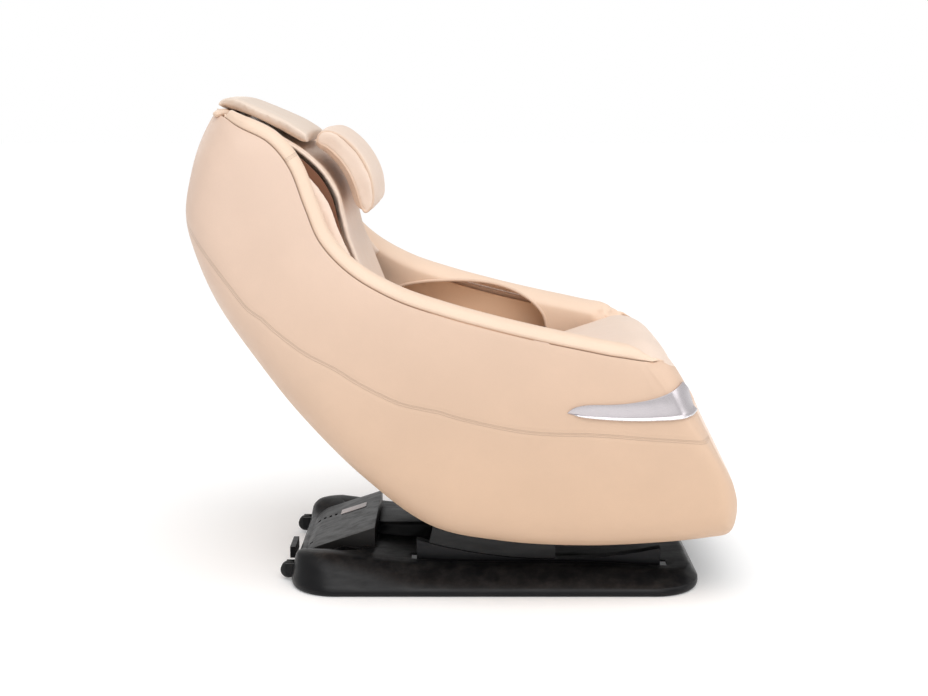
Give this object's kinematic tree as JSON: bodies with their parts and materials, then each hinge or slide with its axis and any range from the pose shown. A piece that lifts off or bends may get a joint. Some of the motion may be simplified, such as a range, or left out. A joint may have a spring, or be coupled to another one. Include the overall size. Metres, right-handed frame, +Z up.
{
  "type": "massage chair",
  "caption": "Massage chair: beige leather tub with padded rim, back pad, head pillow and leg rest, which glides back on curved rails over a low black base with rear transport wheels.",
  "frame": {"origin": "centre of the footprint of the whole chair, on the floor", "axes": "+X towards the sitter's feet, +Y to the sitter's left, +Z up"},
  "size_m": [1.1803, 0.708, 1.0472],
  "materials": {
    "leather_shell": "pale beige leatherette with a fine grain, satin",
    "leather_pad": "padded beige leatherette with welt seams, satin",
    "leather_flap": "grey-beige leatherette, satin",
    "lining": "brown leatherette, matt",
    "silver_trim": "silver-grey lacquered plastic",
    "black_plastic": "black moulded plastic, semi-gloss",
    "grey_plastic": "dark grey moulded plastic, satin",
    "label": "pale grey film label, blank",
    "rubber": "black rubber",
    "switch_plastic": "black rocker",
    "painted_steel": "dark grey powder-coated steel",
    "bright_steel": "zinc-plated steel",
    "rail_steel": "black-coated steel, worn bright along the running face",
    "shoe_nylon": "black nylon",
    "nylon": "off-white nylon",
    "board": "green circuit board"
  },
  "bodies": {
    "base": {"base_cover": "black_plastic", "base_frame": "painted_steel", "control_box_cover": "grey_plastic", "rating_plate": "label", "power_inlet": "black_plastic", "power_supply": "black_plastic", "control_board": "board", "rail_left": "rail_steel", "rail_right": "rail_steel", "foot_front_left": "rubber", "foot_front_right": "rubber", "foot_rear_left": "rubber", "foot_rear_right": "rubber", "castor_fork_left": "black_plastic", "castor_fork_right": "black_plastic", "tilt_actuator_mount": "painted_steel", "tilt_actuator_body": "painted_steel"},
    "switch": {"power_switch": "switch_plastic"},
    "castor_left": {"castor_wheel_left": "rubber"},
    "castor_right": {"castor_wheel_right": "rubber"},
    "actuator_rod": {"tilt_actuator_rod": "bright_steel"},
    "tub": {"side_panel_left": "leather_shell", "side_panel_right": "leather_shell", "back_cover": "leather_shell", "underside_cover": "black_plastic", "arm_roll_left": "leather_shell", "arm_roll_right": "leather_shell", "inner_wall_left": "leather_shell", "inner_wall_right": "leather_shell", "arm_well_lining_left": "lining", "arm_well_lining_right": "lining", "trim_blade_left": "silver_trim", "trim_blade_right": "silver_trim", "seat_cushion": "leather_pad", "shoulder_pad_left": "leather_pad", "shoulder_pad_right": "leather_pad", "frame_side_left": "painted_steel", "frame_side_right": "painted_steel", "frame_cross_tube": "painted_steel", "track_left": "bright_steel", "track_right": "bright_steel", "lift_screw": "bright_steel", "glide_shoe_left": "shoe_nylon", "glide_shoe_right": "shoe_nylon", "tilt_bracket": "painted_steel", "leg_rest_motor": "painted_steel"},
    "leg_rest": {"leg_rest_pad": "leather_pad", "leg_rest_shell": "black_plastic", "leg_rest_shaft": "bright_steel"},
    "back_pad": {"back_cushion": "leather_pad"},
    "pillow": {"pillow_flap": "leather_flap", "head_pillow": "leather_pad"},
    "carriage": {"carriage_frame": "painted_steel", "knead_motor": "painted_steel"},
    "arm_left": {"roller_arm_left": "bright_steel"},
    "arm_right": {"roller_arm_right": "bright_steel"},
    "roller_ul": {"roller_upper_left": "nylon"},
    "roller_ll": {"roller_lower_left": "nylon"},
    "roller_ur": {"roller_upper_right": "nylon"},
    "roller_lr": {"roller_lower_right": "nylon"}
  },
  "joints": [
    {"name": "body_tilt", "type": "hinge", "parent": "base", "child": "tub", "pos_m": [0.2, 0, 1.12], "axis": [0, -1, 0], "range_deg": [0, 10]},
    {"name": "tilt_actuator_stroke", "type": "slide", "parent": "base", "child": "actuator_rod", "axis": [1, 0, 0.0066], "range_m": [0, 0.19]},
    {"name": "leg_rest_swing", "type": "hinge", "parent": "tub", "child": "leg_rest", "pos_m": [0.447, 0, 0.408], "axis": [0, -1, 0], "range_deg": [0, 70]},
    {"name": "back_pad_lift", "type": "hinge", "parent": "tub", "child": "back_pad", "pos_m": [-0.52, 0, 1.03], "axis": [0, -1, 0], "range_deg": [0, 60]},
    {"name": "pillow_flip", "type": "hinge", "parent": "back_pad", "child": "pillow", "pos_m": [-0.519, 0, 1.031], "axis": [0, -1, 0], "range_deg": [0, 100]},
    {"name": "carriage_travel", "type": "slide", "parent": "tub", "child": "carriage", "axis": [-0.304, 0, 0.9527], "range_m": [-0.165, 0.1]},
    {"name": "roller_arm_rock_left", "type": "hinge", "parent": "carriage", "child": "arm_left", "pos_m": [-0.34504, 0.066, 0.67869], "axis": [0, 1, 0], "range_deg": [-8, 8]},
    {"name": "roller_arm_rock_right", "type": "hinge", "parent": "carriage", "child": "arm_right", "pos_m": [-0.34504, -0.066, 0.67869], "axis": [0, 1, 0], "range_deg": [-8, 8]},
    {"name": "roller_spin_upper_left", "type": "hinge", "parent": "arm_left", "child": "roller_ul", "pos_m": [-0.30949, 0.092, 0.73832], "axis": [0, 1, 0], "continuous": true},
    {"name": "roller_spin_lower_left", "type": "hinge", "parent": "arm_left", "child": "roller_ll", "pos_m": [-0.28152, 0.092, 0.65068], "axis": [0, 1, 0], "continuous": true},
    {"name": "roller_spin_upper_right", "type": "hinge", "parent": "arm_right", "child": "roller_ur", "pos_m": [-0.30949, -0.092, 0.73832], "axis": [0, 1, 0], "continuous": true},
    {"name": "roller_spin_lower_right", "type": "hinge", "parent": "arm_right", "child": "roller_lr", "pos_m": [-0.28152, -0.092, 0.65068], "axis": [0, 1, 0], "continuous": true},
    {"name": "castor_spin_left", "type": "hinge", "parent": "base", "child": "castor_left", "pos_m": [-0.386, 0.17, 0.024], "axis": [0, 1, 0], "continuous": true},
    {"name": "castor_spin_right", "type": "hinge", "parent": "base", "child": "castor_right", "pos_m": [-0.386, -0.17, 0.024], "axis": [0, 1, 0], "continuous": true},
    {"name": "power_switch_rock", "type": "hinge", "parent": "base", "child": "switch", "pos_m": [-0.386, -0.05, 0.042], "axis": [0, 0, 1], "range_deg": [-7, 7]}
  ],
  "couplings": [
    {"joint": "tilt_actuator_stroke", "follows": "body_tilt", "m_per_rad": 1.0586},
    {"joint": "roller_arm_rock_right", "follows": "roller_arm_rock_left", "ratio": -1}
  ]
}
